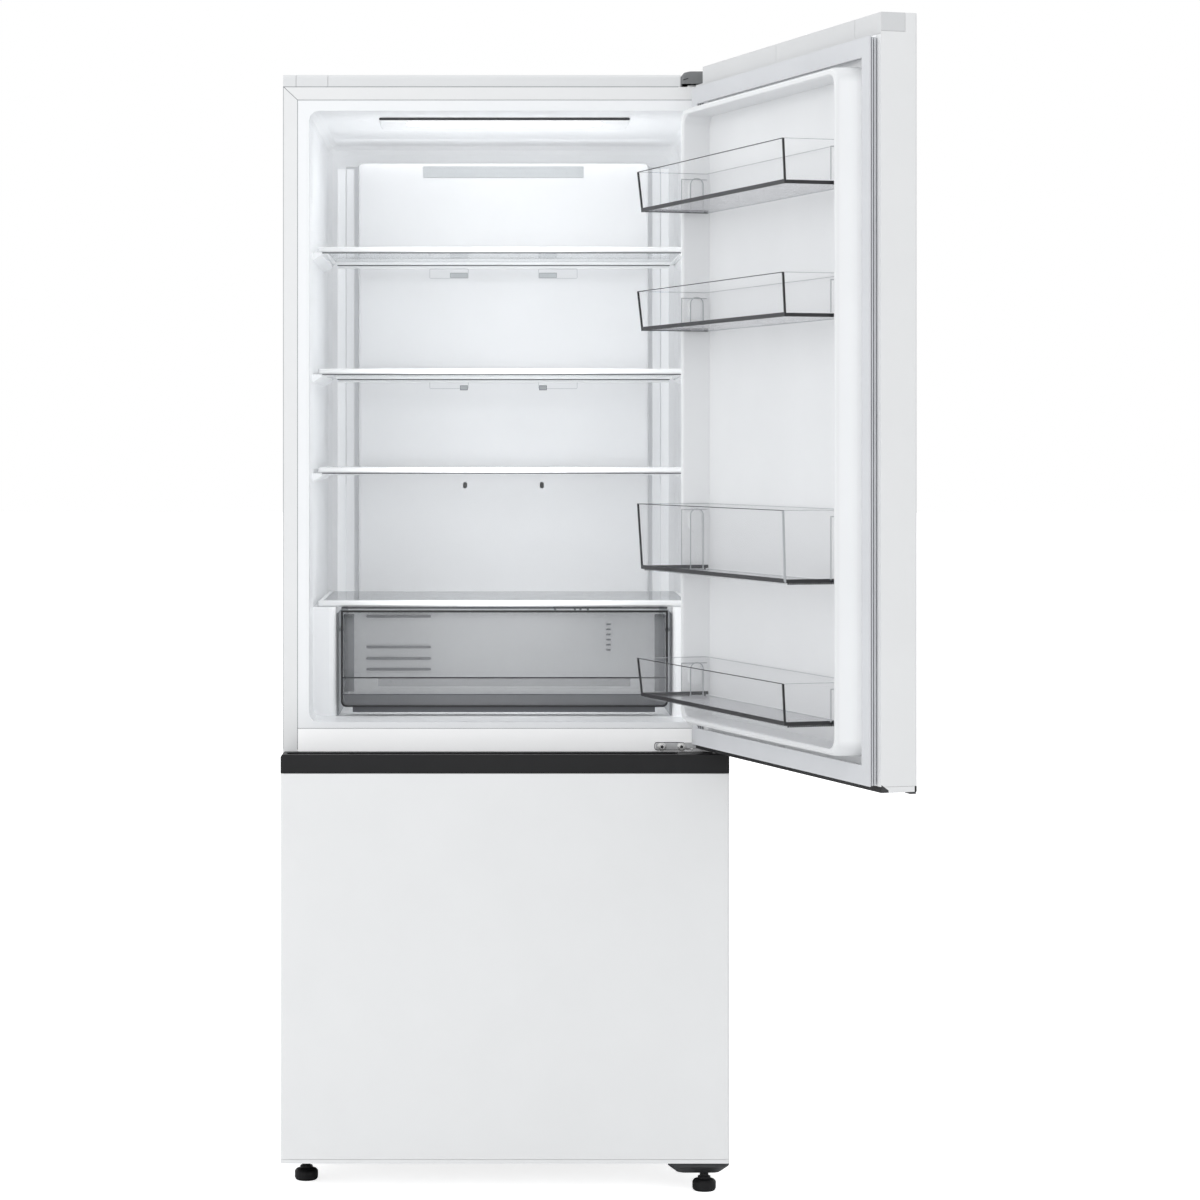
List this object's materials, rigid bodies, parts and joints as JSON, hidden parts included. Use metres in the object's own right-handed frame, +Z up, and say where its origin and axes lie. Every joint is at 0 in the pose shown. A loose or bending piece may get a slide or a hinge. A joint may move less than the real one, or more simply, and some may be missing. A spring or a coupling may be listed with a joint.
{
  "type": "bottom freezer refrigerator",
  "caption": "Upright white refrigerator with its upper door open on shelves, a crisper drawer and door bins, over a closed freezer door with a dark handle strip.",
  "frame": {"origin": "on the floor under the middle of the bounding box of the object as it stands, with the fridge door open", "axes": "+Z up; +X to the right and +Y to the back, for someone facing the doors, so the doors face -Y"},
  "size_m": [0.9118, 1.354, 1.757],
  "materials": {
    "white_steel": "gloss",
    "zinc_steel": "satin",
    "foam": "matte",
    "cover_gray": "satin",
    "dark_steel": "satin",
    "black_steel": "satin",
    "black_plastic": "matte",
    "dark_plastic": "satin",
    "lamp_lens": "satin",
    "rail_gray": "satin",
    "smoke_clear": "gloss",
    "drawer_clear": "gloss",
    "bin_clear": "gloss",
    "shelf_glass": "gloss",
    "aluminium": "satin",
    "gasket": "matte",
    "white_plastic": "satin"
  },
  "bodies": {
    "cabinet": {"outer_case": "white_steel", "rear_panel": "zinc_steel", "base_tray": "zinc_steel", "cabinet_foam": "foam", "fridge_liner": "white_plastic", "freezer_liner": "white_plastic", "crossbar": "white_steel", "top_front_cover": "white_plastic", "hinge_hole_cap": "white_plastic", "top_hinge": "zinc_steel", "top_hinge_cover": "cover_gray", "middle_hinge": "zinc_steel", "bottom_hinge": "dark_steel", "foot_bracket_left": "dark_steel", "foot_left": "black_plastic", "foot_right": "black_plastic", "duct_cover": "white_plastic", "duct_grille": "white_plastic", "lamp_trim": "white_plastic", "lamp_lens": "lamp_lens", "shelf_frame_1": "white_plastic", "shelf_glass_1": "shelf_glass", "shelf_frame_2": "white_plastic", "shelf_glass_2": "shelf_glass", "shelf_frame_3": "white_plastic", "shelf_glass_3": "shelf_glass", "crisper_cover_frame": "white_plastic", "crisper_cover_glass": "shelf_glass", "crisper_rail_left": "rail_gray", "crisper_rail_right": "rail_gray", "freezer_back_cover": "white_plastic", "evaporator": "aluminium", "compressor": "black_steel", "drain_pan": "dark_plastic", "machine_cover": "dark_plastic"},
    "fridge_door": {"fridge_door_panel": "white_steel", "fridge_door_top_cap": "white_plastic", "fridge_door_bottom_cap": "dark_plastic", "fridge_door_liner": "white_plastic", "fridge_door_foam": "foam", "fridge_door_gasket": "gasket"},
    "freezer_door": {"freezer_door_panel": "white_steel", "freezer_door_top_cap": "dark_plastic", "freezer_door_bottom_cap": "dark_plastic", "freezer_door_liner": "white_plastic", "freezer_door_foam": "foam", "freezer_door_gasket": "gasket"},
    "crisper": {"crisper_tub": "smoke_clear", "crisper_front": "smoke_clear"},
    "bin_1": {"door_bin_1": "bin_clear"},
    "bin_2": {"door_bin_2": "bin_clear"},
    "bin_3": {"door_bin_3": "bin_clear"},
    "bin_4": {"door_bin_4": "bin_clear"},
    "drawer_1": {"freezer_drawer_1": "drawer_clear"},
    "drawer_2": {"freezer_drawer_2": "drawer_clear"},
    "drawer_3": {"freezer_drawer_3": "drawer_clear"},
    "roller_left": {"rear_roller_left": "black_plastic"},
    "roller_right": {"rear_roller_right": "black_plastic"},
    "fan": {"evaporator_fan": "white_plastic"}
  },
  "joints": [
    {"name": "fridge_door_swing", "type": "hinge", "parent": "cabinet", "child": "fridge_door", "pos_m": [0.22415, -0.02098, 1.2], "axis": [0, 0, 1], "range_deg": [-107.5, 12.5]},
    {"name": "freezer_door_swing", "type": "hinge", "parent": "cabinet", "child": "freezer_door", "pos_m": [0.22415, -0.02098, 0.365], "axis": [0, 0, 1], "range_deg": [0, 120]},
    {"name": "crisper_slide", "type": "slide", "parent": "cabinet", "child": "crisper", "axis": [0, -1, 0], "range_m": [0, 0.2]},
    {"name": "door_bin_1_lift", "type": "slide", "parent": "fridge_door", "child": "bin_1", "axis": [0, 0, 1], "range_m": [0, 0.04]},
    {"name": "door_bin_2_lift", "type": "slide", "parent": "fridge_door", "child": "bin_2", "axis": [0, 0, 1], "range_m": [0, 0.04]},
    {"name": "door_bin_3_lift", "type": "slide", "parent": "fridge_door", "child": "bin_3", "axis": [0, 0, 1], "range_m": [0, 0.04]},
    {"name": "door_bin_4_lift", "type": "slide", "parent": "fridge_door", "child": "bin_4", "axis": [0, 0, 1], "range_m": [0, 0.04]},
    {"name": "freezer_drawer_1_slide", "type": "slide", "parent": "cabinet", "child": "drawer_1", "axis": [0, -1, 0], "range_m": [0, 0.018]},
    {"name": "freezer_drawer_2_slide", "type": "slide", "parent": "cabinet", "child": "drawer_2", "axis": [0, -1, 0], "range_m": [0, 0.018]},
    {"name": "freezer_drawer_3_slide", "type": "slide", "parent": "cabinet", "child": "drawer_3", "axis": [0, -1, 0], "range_m": [0, 0.018]},
    {"name": "roller_left_spin", "type": "hinge", "parent": "cabinet", "child": "roller_left", "pos_m": [-0.40585, 0.62702, 0.02], "axis": [1, 0, 0], "continuous": true},
    {"name": "roller_right_spin", "type": "hinge", "parent": "cabinet", "child": "roller_right", "pos_m": [0.19415, 0.62702, 0.02], "axis": [1, 0, 0], "continuous": true},
    {"name": "fan_spin", "type": "hinge", "parent": "cabinet", "child": "fan", "pos_m": [-0.10585, 0.53702, 0.574], "axis": [0, 1, 0], "continuous": true}
  ]
}
